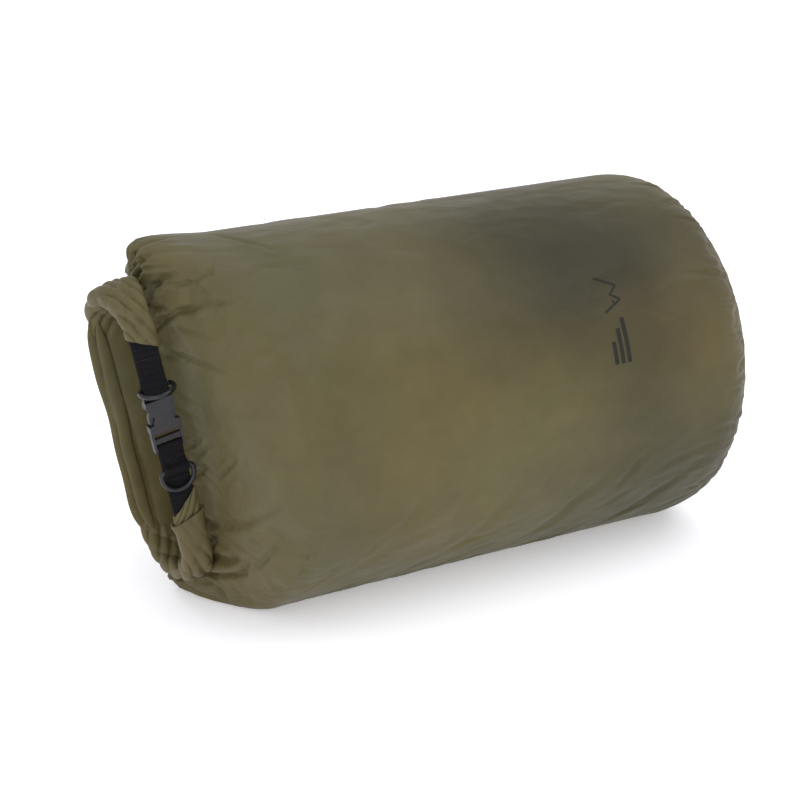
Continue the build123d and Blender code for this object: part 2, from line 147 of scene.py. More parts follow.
def make_floor():
    size = 14.0
    mesh = bpy.data.meshes.new("floor")
    corners = [(-size, -size, 0), (size, -size, 0), (size, size, 0), (-size, size, 0)]
    mesh.from_pydata(corners, [], [(0, 1, 2, 3)])
    floor = bpy.data.objects.new("floor", mesh)
    bpy.context.scene.collection.objects.link(floor)
    material = bpy.data.materials.new("floor_white")
    material.use_nodes = True
    shader = material.node_tree.nodes["Principled BSDF"]
    shader.inputs["Base Color"].default_value = (0.93, 0.925, 0.94, 1)
    shader.inputs["Roughness"].default_value = 0.9
    shader.inputs["Specular IOR Level"].default_value = 0.1
    shader.inputs["Emission Color"].default_value = (1.0, 0.99, 1.0, 1)
    shader.inputs["Emission Strength"].default_value = 0.30
    mesh.materials.append(material)


# ==================================== materials =====================================

class Shading:
    """One material's node tree, with short calls for the nodes used here."""

    def __init__(self, name):
        self.material = bpy.data.materials.new(name)
        self.material.use_nodes = True
        self.tree = self.material.node_tree
        self.shader = self.tree.nodes["Principled BSDF"]
        self.place = self.node("ShaderNodeTexCoord").outputs["Object"]

    def node(self, kind, **settings):
        made = self.tree.nodes.new(kind)
        for key, value in settings.items():
            setattr(made, key, value)
        return made

    def link(self, source, target):
        self.tree.links.new(source, target)

    def scaled(self, scale, turn=(0, 0, 0)):
        mapping = self.node("ShaderNodeMapping")
        mapping.inputs["Scale"].default_value = scale
        mapping.inputs["Rotation"].default_value = turn
        self.link(self.place, mapping.inputs["Vector"])
        return mapping.outputs["Vector"]

    def noise(self, scale, detail=3.0, rough=0.5, where=None, distortion=0.0):
        made = self.node("ShaderNodeTexNoise")
        made.inputs["Scale"].default_value = scale
        made.inputs["Detail"].default_value = detail
        made.inputs["Roughness"].default_value = rough
        made.inputs["Distortion"].default_value = distortion
        self.link(self.place if where is None else where, made.inputs["Vector"])
        return made.outputs["Fac"]

    def wave(self, scale, where, profile="SIN", distortion=0.0):
        made = self.node("ShaderNodeTexWave", wave_profile=profile)
        made.inputs["Scale"].default_value = scale
        made.inputs["Distortion"].default_value = distortion
        self.link(where, made.inputs["Vector"])
        return made.outputs["Fac"]

    def facets(self, scale, bend):
        """Crumpled look: flat facets that meet in sharp lines, longer along X."""
        wavy = self.node("ShaderNodeTexNoise")
        wavy.inputs["Scale"].default_value = 12.0
        self.link(self.place, wavy.inputs["Vector"])
        warp = self.node("ShaderNodeVectorMath", operation="MULTIPLY_ADD")
        self.link(wavy.outputs["Color"], warp.inputs[0])
        warp.inputs[1].default_value = (bend, bend, bend)
        self.link(self.scaled((0.6, 1, 1), (0, 0.35, 0.2)), warp.inputs[2])
        cells = self.node("ShaderNodeTexVoronoi", feature="F1")
        cells.inputs["Scale"].default_value = scale
        self.link(warp.outputs["Vector"], cells.inputs["Vector"])
        return cells.outputs["Distance"]

    def ramp(self, source, *stops):
        made = self.node("ShaderNodeValToRGB")
        while len(made.color_ramp.elements) < len(stops):
            made.color_ramp.elements.new(0.5)
        for element, (position, colour) in zip(made.color_ramp.elements, stops):
            element.position = position
            element.color = (*colour, 1)
        self.link(source, made.inputs["Fac"])
        return made.outputs["Color"]

    def blend(self, amount, first, second, how="MIX"):
        made = self.node("ShaderNodeMix", data_type="RGBA", blend_type=how)
        for value, socket in ((amount, made.inputs["Factor"]), (first, made.inputs["A"]),
                              (second, made.inputs["B"])):
            self.set_or_link(value, socket)
        return made.outputs["Result"]

    def painted_shade_or_light(self, centre, radius, tone):
        """A patch of painted shade, or of painted light where its tone is above 1: white far from a
        point, turning softly to a grey tone at it.
        """
        warp = self.node("ShaderNodeVectorMath", operation="MULTIPLY_ADD")
        wavy = self.node("ShaderNodeTexNoise")
        wavy.inputs["Scale"].default_value = 9.0
        self.link(self.place, wavy.inputs["Vector"])
        self.link(wavy.outputs["Color"], warp.inputs[0])
        warp.inputs[1].default_value = (0.09, 0.09, 0.09)
        self.link(self.place, warp.inputs[2])
        near = self.node("ShaderNodeVectorMath", operation="DISTANCE")
        self.link(warp.outputs["Vector"], near.inputs[0])
        near.inputs[1].default_value = [c + 0.045 for c in centre]
        share = self.math("DIVIDE", near.outputs["Value"], 2 * radius)
        return self.ramp(share, (0.15, (tone, tone, tone)), (0.85, (1.0, 1.0, 1.0)))

    def set_or_link(self, value, socket):
        if isinstance(value, bpy.types.NodeSocket):
            self.link(value, socket)
        elif isinstance(value, tuple):
            socket.default_value = (*value, 1)
        else:
            socket.default_value = value

    def math(self, how, first, second):
        made = self.node("ShaderNodeMath", operation=how)
        self.set_or_link(first, made.inputs[0])
        self.set_or_link(second, made.inputs[1])
        return made.outputs["Value"]

    def bump(self, height, distance, strength=1.0, under=None):
        made = self.node("ShaderNodeBump")
        made.inputs["Strength"].default_value = strength
        made.inputs["Distance"].default_value = distance
        self.link(height, made.inputs["Height"])
        if under is not None:
            self.link(under, made.inputs["Normal"])
        return made.outputs["Normal"]

    def finish(self, colour=None, roughness=None, normal=None, **plain):
        if colour is not None:
            self.set_or_link(colour, self.shader.inputs["Base Color"])
        if roughness is not None:
            self.set_or_link(roughness, self.shader.inputs["Roughness"])
        if normal is not None:
            self.link(normal, self.shader.inputs["Normal"])
        for key, value in plain.items():
            self.shader.inputs[key.replace("_", " ")].default_value = value
        return self.material


# Broad soft patches of painted shade and painted light, partly the fabric's own uneven colour, where it
# looks darker or lighter: centre, radius, tone.
PAINTED_SHADE_AND_LIGHT = [
    ((0.125, -0.085, 0.262), 0.095, 0.34),
    ((0.040, -0.060, 0.285), 0.060, 0.90),
    ((0.200, -0.125, 0.075), 0.100, 0.62),
    ((0.040, -0.150, 0.140), 0.100, 1.22),
    ((0.215, -0.120, 0.190), 0.055, 1.35),
    ((0.150, 0.110, 0.200), 0.090, 0.80),
]


def coated_fabric():
    """Olive coated nylon: greener and browner patches, patches of painted shade and painted light, fine
    weave, small crinkles, satin sheen.
    """
    s = Shading("coated_fabric")
    patches = s.noise(5.2, 2.0, 0.45, s.scaled((1, 1.2, 1.3)))
    brown, olive, green = (0.092, 0.073, 0.026), (0.086, 0.073, 0.027), (0.081, 0.072, 0.028)
    base = s.ramp(patches, (0.36, brown), (0.50, olive), (0.64, green))
    faint = s.ramp(s.noise(38, 4.0, 0.6), (0.30, (0.90, 0.90, 0.90)), (0.72, (1.06, 1.06, 1.06)))
    colour = s.blend(1.0, base, faint, "MULTIPLY")
    # multiplies in the patches of painted shade and painted light (darker and lighter areas baked into
    # the colour)
    for centre, radius, tone in PAINTED_SHADE_AND_LIGHT:
        colour = s.blend(1.0, colour, s.painted_shade_or_light(centre, radius, tone), "MULTIPLY")
    threads = s.math("ADD", s.wave(420, s.scaled((1, 0, 0))), s.wave(420, s.scaled((0, 0.7, 0.7))))
    crinkle = s.noise(48, 5.0, 0.60, s.scaled((0.55, 1, 1)), 0.8)
    broad = s.noise(17, 2.0, 0.45)
    normal = s.bump(broad, 0.006, 0.45)
    normal = s.bump(s.facets(26, 0.05), 0.0060, 0.42, normal)
    normal = s.bump(s.facets(58, 0.03), 0.0028, 0.42, normal)
    normal = s.bump(crinkle, 0.0020, 0.45, normal)
    normal = s.bump(threads, 0.00004, 0.5, normal)
    rough = s.ramp(s.noise(24, 3.0), (0.3, (0.46, 0.46, 0.46)), (0.7, (0.58, 0.58, 0.58)))
    return s.finish(colour, rough, normal, Specular_IOR_Level=0.27, Sheen_Weight=0.02,
                    Sheen_Roughness=0.4)


def webbing_material():
    """Black woven webbing: ribs along its length with a finer cross weave, and a dusty wear."""
    s = Shading("webbing")
    turned = s.scaled((1, 1, 1), (0, LEAN, 0))
    ribs = s.wave(150, turned)
    picks = s.wave(330, s.scaled((0, 0.3, 1), (0, LEAN, 0)))
    weave = s.math("ADD", ribs, s.math("MULTIPLY", picks, 0.5))
    colour = s.ramp(s.math("MULTIPLY", weave, 0.66), (0.2, (0.0030, 0.0030, 0.0038)),
                    (0.9, (0.0075, 0.0075, 0.0088)))
    normal = s.bump(weave, 0.00030, 0.6)
    normal = s.bump(s.noise(900, 2.0), 0.0001, 0.4, normal)
    return s.finish(colour, 0.8, normal, Specular_IOR_Level=0.14)


def thread_material():
    s = Shading("thread")
    twist = s.wave(700, s.scaled((1, 1, 1), (0, 0, 0.6)))
    colour = s.ramp(twist, (0.1, (0.003, 0.003, 0.004)), (0.9, (0.009, 0.009, 0.011)))
    return s.finish(colour, 0.6, s.bump(twist, 0.0001, 0.5))


def moulded_plastic():
    """Black acetal with a fine spark texture, a little shinier where it is rubbed."""
    s = Shading("buckle_plastic")
    cloud = s.noise(60, 3.0)
    colour = s.ramp(cloud, (0.3, (0.010, 0.010, 0.012)), (0.7, (0.018, 0.018, 0.021)))
    rough = s.ramp(s.noise(90, 3.0), (0.3, (0.34, 0.34, 0.34)), (0.7, (0.47, 0.47, 0.47)))
    normal = s.bump(s.noise(2600, 2.0), 0.00006, 0.35)
    return s.finish(colour, rough, normal, Specular_IOR_Level=0.42)


def ring_material():
    """Smooth dark ring with faint drawn lines."""
    s = Shading("ring_plastic")
    lines = s.noise(240, 2.0, 0.5, s.scaled((0.3, 1, 1)))
    colour = s.ramp(lines, (0.3, (0.007, 0.007, 0.008)), (0.7, (0.012, 0.012, 0.014)))
    rough = s.ramp(lines, (0.3, (0.24, 0.24, 0.24)), (0.7, (0.34, 0.34, 0.34)))
    return s.finish(colour, rough, s.bump(lines, 0.0001, 0.2), Specular_IOR_Level=0.36)


def print_material():
    """Black screen print on the fabric, thin at its edges where the weave shows."""
    s = Shading("print_ink")
    wear = s.noise(420, 4.0, 0.6)
    colour = s.ramp(wear, (0.25, (0.012, 0.012, 0.012)), (0.80, (0.026, 0.025, 0.020)))
    return s.finish(colour, 0.65, s.bump(wear, 0.0002, 0.3), Specular_IOR_Level=0.2)


# =================================== mesh helpers ===================================

def grid_faces(rows, columns, closed):
    """Quads of a rows x columns grid of vertices, closed round its columns or not."""
    last = columns if closed else columns - 1
    faces = []
    for i in range(rows - 1):
        for j in range(last):
            k = (j + 1) % columns
            faces.append((i * columns + j, (i + 1) * columns + j,
                          (i + 1) * columns + k, i * columns + k))
    return faces


def face_outwards(mesh, inside):
    """Turns the mesh's faces away from a point inside the sack, or out of a closed piece."""
    shape = bmesh.new()
    shape.from_mesh(mesh)
    if inside is None:
        bmesh.ops.recalc_face_normals(shape, faces=shape.faces)
    else:
        centre = Vector(inside)
        facing = sum((f.calc_center_median() - centre).dot(f.normal) * f.calc_area()
                     for f in shape.faces)
        if facing < 0:
            bmesh.ops.reverse_faces(shape, faces=shape.faces)
    shape.to_mesh(mesh)
    shape.free()


def mesh_piece(name, points, faces, material, inside=None):
    mesh = bpy.data.meshes.new(name)
    mesh.from_pydata(np.asarray(points).reshape(-1, 3).tolist(), [], faces)
    mesh.validate()
    face_outwards(mesh, inside)
    mesh.polygons.foreach_set("use_smooth", [True] * len(mesh.polygons))
    mesh.materials.append(material)
    piece = bpy.data.objects.new(name, mesh)
    bpy.context.scene.collection.objects.link(piece)
    return piece


def halved(points, axis, closed):
    """Doubles a grid's rows or columns with a smooth four-point rule."""
    grid = np.moveaxis(points, axis, 0)
    if closed:
        before, after, later = np.roll(grid, 1, 0), np.roll(grid, -1, 0), np.roll(grid, -2, 0)
        middle = (9 * (grid + after) - before - later) / 16
        count = len(grid)
    else:
        first, last = 2 * grid[:1] - grid[1:2], 2 * grid[-1:] - grid[-2:-1]
        padded = np.concatenate([first, grid, last])
        middle = (9 * (padded[1:-2] + padded[2:-1]) - padded[:-3] - padded[3:]) / 16
        count = len(grid) - 1
    made = np.empty((len(grid) + count, *grid.shape[1:]))
    made[0::2] = grid
    made[1::2] = middle
    return np.moveaxis(made, 0, axis)


def normals_of(points, closed=True):
    """Unit normals of a grid of points, out of the side that the columns turn round."""
    if closed:
        across = np.roll(points, -1, 1) - np.roll(points, 1, 1)
    else:
        across = np.gradient(points, axis=1)
    along = np.gradient(points, axis=0)
    normal = np.cross(along, across)
    return normal / np.maximum(np.linalg.norm(normal, axis=-1, keepdims=True), 1e-12)


def smoothstep(low, high, x):
    t = np.clip((x - low) / (high - low), 0, 1)
    return t * t * (3 - 2 * t)


# ===================================== body skin ====================================

SKIN_ROWS_NECK = 44
SKIN_ROWS_TUBE = 96
SKIN_ROWS_ROUND = 14
SKIN_COLUMNS = 256


def axial_of(arc):
    """Distance along the axis of a point that far along the fabric from the neck."""
    turn = np.clip(arc / NECK_ARC, 0, 1) * pi / 2
    return np.where(arc < NECK_ARC, NECK_LENGTH * (1 - np.cos(turn)), arc - NECK_ARC + NECK_LENGTH)


def skin_form(arc, angle):
    """The filled sack's outer form at a distance along the fabric and an angle round it.

    Angle 0 faces -Y and 90 degrees is up. Negative distances run on into the roll.
    """
    arc, angle = np.broadcast_arrays(arc, angle)
    axial = axial_of(arc)
    share = np.clip(axial / NECK_LENGTH, 0, 1)
    left = 1 - share
    opened = np.sin(np.clip(arc / NECK_ARC, 0, 1) * pi / 2) ** 1.25
    half_wide = NECK_HALF_THICK + (RADIUS - NECK_HALF_THICK) * opened
    half_high = NECK_HALF_HEIGHT + (RADIUS - NECK_HALF_HEIGHT) * (1 - left ** 4) ** (1 / 3)
    inside = np.clip(-arc, 0, 1)
    half_high = half_high - 0.5 * inside
    rounding = np.clip((axial - NECK_TO_BASE + BASE_ROUNDING) / BASE_ROUNDING, 0, 1)
    drop = (RADIUS - SEAM_RADIUS) * (1 - np.sqrt(np.clip(1 - rounding ** 2, 0, 1)))
    half_wide = half_wide - drop
    half_high = half_high - drop
    lean = LEAN * left ** 1.2
    up, side = np.sin(angle), np.cos(angle)
    x = NECK_X + axial - inside - np.sin(lean) * half_high * up
    y = 0.010 * left ** 1.5 - half_wide * side
    z = AXIS_Z + NECK_RISE * left ** 1.6 + np.cos(lean) * half_high * up
    # the fabric bulges out past the ends of the roll, at the top and the bottom of the neck
    puff = np.where(up > 0, 6 * MM, 46 * MM)
    puff = puff * smoothstep(0.0, 0.5, opened) * left ** 1.2 * np.abs(up) ** 3
    x = x - puff * np.cos(LEAN)
    return np.stack([x, y, z], -1)


def on_ground(points, soft=9 * MM):
    """Settles whatever is near or under the floor onto it."""
    z = points[..., 2]
    lifted = np.where(z < soft, soft * np.exp(np.minimum(z / soft - 1, 0)), z)
    points[..., 2] = lifted - soft * np.exp(-1) * np.exp(-np.maximum(z, 0) / soft)
    points[..., 2] = np.maximum(points[..., 2], 0.6 * MM)
    return points


def coarse_skin():
    neck = np.linspace(0, NECK_ARC, SKIN_ROWS_NECK, endpoint=False)
    tube_end = NECK_ARC + NECK_TO_BASE - NECK_LENGTH - BASE_ROUNDING
    tube = np.linspace(NECK_ARC, tube_end, SKIN_ROWS_TUBE, endpoint=False)
    turn = np.linspace(0, pi / 2, SKIN_ROWS_ROUND)
    arcs = np.concatenate([[-18 * MM, -8 * MM], neck, tube, tube_end + BASE_ROUNDING * np.sin(turn)])
    angles = np.linspace(-pi, pi, SKIN_COLUMNS, endpoint=False)
    arc, angle = np.meshgrid(arcs, angles, indexing="ij")
    return skin_form(arc, angle), arc, angle


def slack_form(points, arc, angle):
    """Flat-cut shape of the fabric: more cloth than the form needs, near the neck and the seams."""
    around = np.linalg.norm(np.roll(points, -1, 1) - points, axis=-1)
    along = np.linalg.norm(np.diff(points, axis=0), axis=-1)
    near_neck = np.exp(-np.maximum(arc, 0) / (75 * MM))
    near_base = np.exp(-(arc.max() - arc) / (40 * MM))
    top_bottom = np.abs(np.sin(angle)) ** 2
    around = around * (1.012 + 0.34 * near_neck + 0.05 * near_base)
    loose = 1.008 + 0.16 * near_neck * top_bottom + 0.03 * near_base
    along = along * (loose[1:] + loose[:-1]) / 2
    ring = around.sum(1, keepdims=True)
    turned = np.cumsum(around, axis=1) / ring * 2 * pi
    distance = np.concatenate([np.zeros((1, points.shape[1])), np.cumsum(along, axis=0)])
    radius = ring / (2 * pi)
    return np.stack([distance, -radius * np.cos(turned), radius * np.sin(turned)], -1)


def simulated(points, arc, angle):
    """Lets the filled sack's fabric settle as cloth under pressure, held at its neck and seam."""
    rows, columns = arc.shape
    mesh = bpy.data.meshes.new("skin_cloth")
    mesh.from_pydata(points.reshape(-1, 3).tolist(), [], grid_faces(rows, columns, True))
    cloth = bpy.data.objects.new("skin_cloth", mesh)
    bpy.context.scene.collection.objects.link(cloth)
    cloth.shape_key_add(name="Basis")
    slack = cloth.shape_key_add(name="slack")
    slack.data.foreach_set("co", slack_form(points, arc, angle).astype(np.float32).ravel())
    slack.value = 0.0
    held = cloth.vertex_groups.new(name="held")
    pins = np.arange(rows * columns).reshape(rows, columns)
    fixed = np.concatenate([pins[:4].ravel(), pins[-2:].ravel()])
    held.add(fixed.tolist(), 1.0, "REPLACE")
    modifier = cloth.modifiers.new("cloth", "CLOTH")
    settings = modifier.settings
    settings.quality = 6
    settings.mass = 0.25
    settings.tension_stiffness = 18
    settings.compression_stiffness = 10
    settings.shear_stiffness = 4
    settings.bending_stiffness = 0.25
    settings.air_damping = 2.0
    settings.use_pressure = True
    settings.uniform_pressure_force = 5.0
    settings.vertex_group_mass = "held"
    settings.rest_shape_key = slack
    settings.effector_weights.gravity = 0
    modifier.collision_settings.use_collision = False
    scene = bpy.context.scene
    modifier.point_cache.frame_end = 24
    for number in range(1, 23):
        scene.frame_set(number)
    shaped = cloth.evaluated_get(bpy.context.evaluated_depsgraph_get())
    moved = np.empty(rows * columns * 3, np.float32)
    shaped.data.vertices.foreach_get("co", moved)
    scene.frame_set(1)
    bpy.data.objects.remove(cloth)
    return moved.reshape(rows, columns, 3).astype(float)


def capped(points, moved, out, into):
    """Holds each point's move to a few millimetres, less outwards than inwards."""
    normal = normals_of(points)
    move = moved - points
    away = (move * normal).sum(-1, keepdims=True)
    along = move - away * normal
    length = np.linalg.norm(along, axis=-1, keepdims=True)
    along = along * np.tanh(length / (8 * MM)) / np.maximum(length / (8 * MM), 1e-9)
    away = np.where(away > 0, out * np.tanh(away / out), into * np.tanh(away / into))
    return points + along + away * normal


# A crease is a line on the fabric, (millimetres from the neck, degrees round) at each point,
# then its width and depth in millimetres and how high the fabric stands beside it.
# Many of these places were worked out by another program.
CREASES = [
    # top shoulder, where the fabric gathers into the roll
    ([(150, 96), (187, 75)], 3.5, 1.6, 0.7),
    ([(18, 50), (58, 62), (87, 67)], 4.0, 4.5, 0.9),
    ([(66, 58), (111, 66), (122, 71)], 3.0, 2.4, 0.9),
    ([(18, 37), (66, 48), (92, 52), (112, 53)], 4.0, 4.0, 0.9),
    ([(75, 52), (128, 56)], 3.0, 1.8, 0.8),
    ([(16, 66), (40, 74), (66, 79)], 4.0, 4.5, 0.8),
    ([(14, 80), (55, 86), (104, 92)], 4.5, 4.5, 0.8),
    ([(16, 96), (60, 100), (96, 99)], 4.0, 4.5, 0.8),
    ([(14, 112), (50, 114), (110, 112)], 5.0, 4.5, 0.8),
    ([(16, 130), (60, 128), (120, 131)], 4.5, 4.0, 0.8),
    ([(16, 150), (70, 152)], 4.0, 2.6, 0.8),
    ([(22, 26), (60, 31)], 4.0, 1.5, 0.7),
    ([(130, 62), (168, 70), (200, 68)], 5.0, 1.1, 0.7),
    ([(120, 40), (172, 44)], 6.0, 1.0, 0.7),
    # below the buckle
    ([(16, -13), (41, -3), (50, 2)], 3.2, 2.2, 0.9),
    ([(30, -13), (58, 1)], 3.0, 2.0, 0.9),
    ([(20, -24), (44, -12), (58, -12)], 3.5, 2.8, 0.9),
    ([(54, -13), (78, -1)], 2.6, 2.0, 0.9),
    ([(28, -42), (78, -24), (116, -8), (134, 4)], 6.0, 2.6, 0.8),
    # deep overlapping folds at the lower corner
    ([(16, -46), (40, -36), (62, -33)], 4.5, 6.0, 0.9),
    ([(62, -33), (50, -48), (16, -66)], 4.0, 4.5, 0.7),
    ([(18, -72), (50, -52), (92, -36)], 5.5, 7.5, 0.9),
    ([(92, -36), (94, -45), (60, -62), (26, -80)], 4.5, 5.0, 0.8),
    ([(99, -41), (122, -19)], 3.5, 2.0, 0.9),
    ([(165, -40), (158, -25), (166, -14)], 5.0, 1.8, 0.8),
    ([(24, -84), (70, -76), (112, -70)], 4.5, 4.5, 0.8),
    ([(109, -69), (78, -61), (58, -72)], 4.0, 3.0, 0.8),
    ([(20, -100), (70, -98), (120, -104)], 5.0, 4.0, 0.8),
    ([(18, -122), (60, -120), (110, -126)], 5.0, 4.0, 0.8),
    ([(18, -146), (64, -144), (100, -150)], 4.5, 3.0, 0.8),
    # long soft folds of the lower side
    ([(205, -38), (240, -22), (262, -2)], 9.0, 1.5, 0.7),
    ([(290, -44), (322, -26), (350, -8)], 9.0, 1.4, 0.7),
    ([(372, -46), (398, -28), (430, -16)], 8.0, 1.6, 0.7),
    ([(455, -50), (486, -34), (512, -26)], 7.0, 1.6, 0.7),
]


def scattered_creases(seed):
    """Smaller creases: gathers at the neck and the base seam, draping lines along the underside."""
    pick = np.random.default_rng(seed)
    made = []
    for degrees in np.arange(-176, 184, 9.0):
        start = pick.uniform(12, 26)
        reach = pick.uniform(34, 96)
        turn = degrees + pick.uniform(-3, 3)
        made.append(([(start, turn), (start + reach, turn + pick.uniform(-6, 6))],
                     pick.uniform(2.4, 4.2), pick.uniform(1.0, 2.6), 0.8))
    end = (NECK_ARC + NECK_TO_BASE - NECK_LENGTH) / MM
    for degrees in np.arange(-178, 182, 4.6):
        turn = degrees + pick.uniform(-1.6, 1.6)
        reach = pick.uniform(12, 44) * (1.5 if pick.random() < 0.2 else 1.0)
        made.append(([(end + 2, turn), (end - reach, turn + pick.uniform(-5, 5))],
                     pick.uniform(2.2, 4.4), pick.uniform(0.8, 2.2), 0.8))
    for _ in range(70):
        start = pick.uniform(150, 520)
        turn = pick.uniform(-86, -18) if pick.random() < 0.62 else pick.uniform(100, 250)
        reach, climb = pick.uniform(22, 60), pick.uniform(6, 20)
        made.append(([(start, turn), (start + reach * 0.5, turn + climb * 0.6),
                      (start + reach, turn + climb)],
                     pick.uniform(3.5, 8.0), pick.uniform(0.4, 1.2), 0.7))
    for _ in range(34):
        start = pick.uniform(150, 540)
        turn = pick.uniform(-10, 96)
        reach, climb = pick.uniform(18, 46), pick.uniform(-9, 9)
        made.append(([(start, turn), (start + reach, turn + climb)],
                     pick.uniform(4.0, 8.0), pick.uniform(0.25, 0.7), 0.7))
    return made


def pleated(phase):
    """Rounded folds with a sharp valley between them: -1 in the valley, 0.35 on the crest."""
    return 1.35 * np.abs(np.cos(phase / 2)) ** 0.55 - 1


def gathers(arc, angle):
    """Pleats that run out from the neck, deepest at the top and the bottom."""
    warped = angle + 0.10 * np.sin(3 * angle + 0.8) + 0.05 * np.sin(8 * angle)
    run = np.maximum(arc, 0) / MM
    reach = 64 + 26 * np.sin(5 * angle + 1) + 14 * np.sin(11 * angle)
    fade = np.exp(-(run / reach) ** 1.7)
    depth = (3.2 + 1.3 * np.sin(7 * angle + 2)) * MM * (0.25 + 0.75 * np.abs(np.sin(angle)) ** 1.5)
    bent = 0.11 * np.sin(4 * angle + 0.5) * run / 60
    second = pleated(43 * (warped - bent) + 1.0) * np.exp(-(run / 34) ** 2)
    return depth * (fade * pleated(24 * (warped + bent)) + 0.35 * second)


def crease(points, shift, arc, angle, line, width, depth, beside):
    """Adds one crease's move along the normal to shift: a valley with a raised edge at one side."""
    line = np.array(line, float)
    at = np.linspace(0, len(line) - 1, 14)
    along = np.interp(at, np.arange(len(line)), line[:, 0]) * MM
    turned = np.radians(np.interp(at, np.arange(len(line)), line[:, 1]))
    row = np.abs(arc[:, :1] - along[None]).argmin(0)
    gap = np.abs((angle[:1].T - turned[None] + pi) % (2 * pi) - pi)
    column = gap.argmin(0)
    spine = points[row, column]
    reach = 4.2 * width * MM
    low, high = spine.min(0) - reach, spine.max(0) + reach
    near = ((points > low) & (points < high)).all(-1)
    rows, columns = np.nonzero(near)
    if len(rows) == 0:
        return
    here = points[rows, columns]
    best = np.full(len(here), 1e9)
    place = np.zeros(len(here))
    side = np.zeros(len(here))
    for k in range(len(spine) - 1):
        start, step = spine[k], spine[k + 1] - spine[k]
        length = max(step @ step, 1e-12)
        t = np.clip((here - start) @ step / length, 0, 1)
        gap = here - start - t[:, None] * step
        distance = np.linalg.norm(gap, axis=1)
        closer = distance < best
        out = np.array([0, here[:, 1].mean(), spine[k][2] - AXIS_Z])
        turn = np.cross(step, out)
        best = np.where(closer, distance, best)
        place = np.where(closer, (k + t) / (len(spine) - 1), place)
        side = np.where(closer, np.sign(gap @ turn), side)
    taper = np.sin(np.clip(place, 0.02, 0.98) * pi) ** 0.7
    first = line[0, 0] < 30 or line[0, 0] > 560
    if first:
        taper = np.cos(np.clip(place, 0, 1) * pi / 2) ** 0.8
    u = best / (width * MM)
    valley = -np.exp(-(u * 1.5) ** 2)
    ridge = beside * np.exp(-((u - 1.25) / 0.85) ** 2) * np.where(side > 0, 1.0, 0.35)
    shift[rows, columns] += depth * MM * taper * (valley + 0.62 * ridge)


def body_skin(fabric):
    """The tube of fabric, from inside the roll to the base seam."""
    points, arc, angle = coarse_skin()
    form = on_ground(points.copy())
    points = form
    points = capped(form, simulated(form, arc, angle), 2.5 * MM, 9 * MM)
    points = on_ground(points)
    for axis, closed in ((0, False), (1, True)):
        points = halved(points, axis, closed)
        arc = halved(arc, axis, False) if axis == 0 else arc
    step = 2 * pi / (2 * SKIN_COLUMNS)
    angle = np.broadcast_to(-pi + step * np.arange(2 * SKIN_COLUMNS), points.shape[:2])
    arc = np.repeat(arc, 2, axis=1)
    shift = gathers(arc, angle)
    for line, width, depth, beside in CREASES + scattered_creases(11):
        crease(points, shift, arc, angle, line, width, depth, beside)
    limit = 7.5 * MM
    shift = np.where(shift > 0, 4 * MM * np.tanh(shift / (4 * MM)), limit * np.tanh(shift / limit))
    end_hold = smoothstep(-2 * MM, 8 * MM, arc) * smoothstep(0, 5 * MM, arc.max() - arc + 0.4 * MM)
    lying = smoothstep(0, 9 * MM, points[..., 2])
    points = points + normals_of(points) * (shift * end_hold * (0.25 + 0.75 * lying))[..., None]
    points[..., 2] = np.maximum(points[..., 2], 0.4 * MM)
    rows, columns = arc.shape
    piece = mesh_piece("sack_body_fabric", points, grid_faces(rows, columns, True), fabric,
                       inside=SACK_MIDDLE)
    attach(piece, "root")
    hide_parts("body_panel", "side_seam_tape")
    return points, arc, angle


# ==================================== base panel ====================================

def base_disc(rim, fabric):
    """The sack's round end: domed, puckered where its edge is sewn to the tube."""
    pick = np.random.default_rng(5)
    count = len(rim)
    rows = 46
    share = np.linspace(0, 1, rows)
    angle = np.linspace(-pi, pi, count, endpoint=False)
    centre = np.array([BASE_X, 0, AXIS_Z])
    spokes = rim - centre
    spokes[:, 0] = 0
    pucker = np.zeros((rows, count))
    for _ in range(64):
        at, wide = pick.uniform(-pi, pi), pick.uniform(0.012, 0.040)
        deep, reach = pick.uniform(0.6, 2.4) * MM, pick.uniform(0.10, 0.42)
        gap = (angle - at + pi) % (2 * pi) - pi
        profile = -np.exp(-(gap / wide) ** 2) + 0.6 * np.exp(-((gap - 1.4 * wide) / wide) ** 2)
        fade = smoothstep(1 - reach, 1.0, share) * smoothstep(1.0, 0.94, share)
        pucker += deep * fade[:, None] * profile[None]
    waves = 1.2 * MM * np.sin(3 * angle + 0.6)[None] * (share * (1 - share) * 4)[:, None]
    dome = BASE_DOME * (1 - share[:, None] ** 2.4)
    groove = -2.2 * MM * np.exp(-((share[:, None] - 0.965) / 0.014) ** 2)
    points = centre + share[:, None, None] * spokes[None]
    points[..., 0] = BASE_X + dome + pucker + waves + groove
    points[-1, :, 0] = BASE_X - 0.5 * MM
    piece = mesh_piece("base_panel_fabric", points, grid_faces(rows, count, True), fabric,
                       inside=SACK_MIDDLE)
    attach(piece, "root")
    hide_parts("base_panel", "base_seam_tape")


def base_piping(rim, fabric):
    """Folded seam allowance that stands up a little round the base seam."""
    count = len(rim)
    centre = np.array([BASE_X, 0, AXIS_Z])
    out = rim - centre
    out[:, 0] = 0
    out = out / np.linalg.norm(out, axis=1, keepdims=True)
    turns = np.linspace(0, 2 * pi, 10, endpoint=False)
    angle = np.linspace(-pi, pi, count, endpoint=False)
    ripple = 1 + 0.22 * np.sin(41 * angle) * np.sin(13 * angle + 1)
    radius = 1.5 * MM * ripple[:, None, None]
    ring = rim[:, None] + radius * (
        np.cos(turns)[None, :, None] * out[:, None]
        + np.sin(turns)[None, :, None] * np.array([1.0, 0, 0]))
    faces = grid_faces(count, len(turns), True)
    last = (count - 1) * len(turns)
    for j in range(len(turns)):
        k = (j + 1) % len(turns)
        faces.append((last + j, last + k, k, j))
    ring[..., 2] = np.maximum(ring[..., 2], 0.4 * MM)
    piece = mesh_piece("base_seam_edge", ring, faces, fabric)
    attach(piece, "root")


# ==================================== rolled mouth ===================================

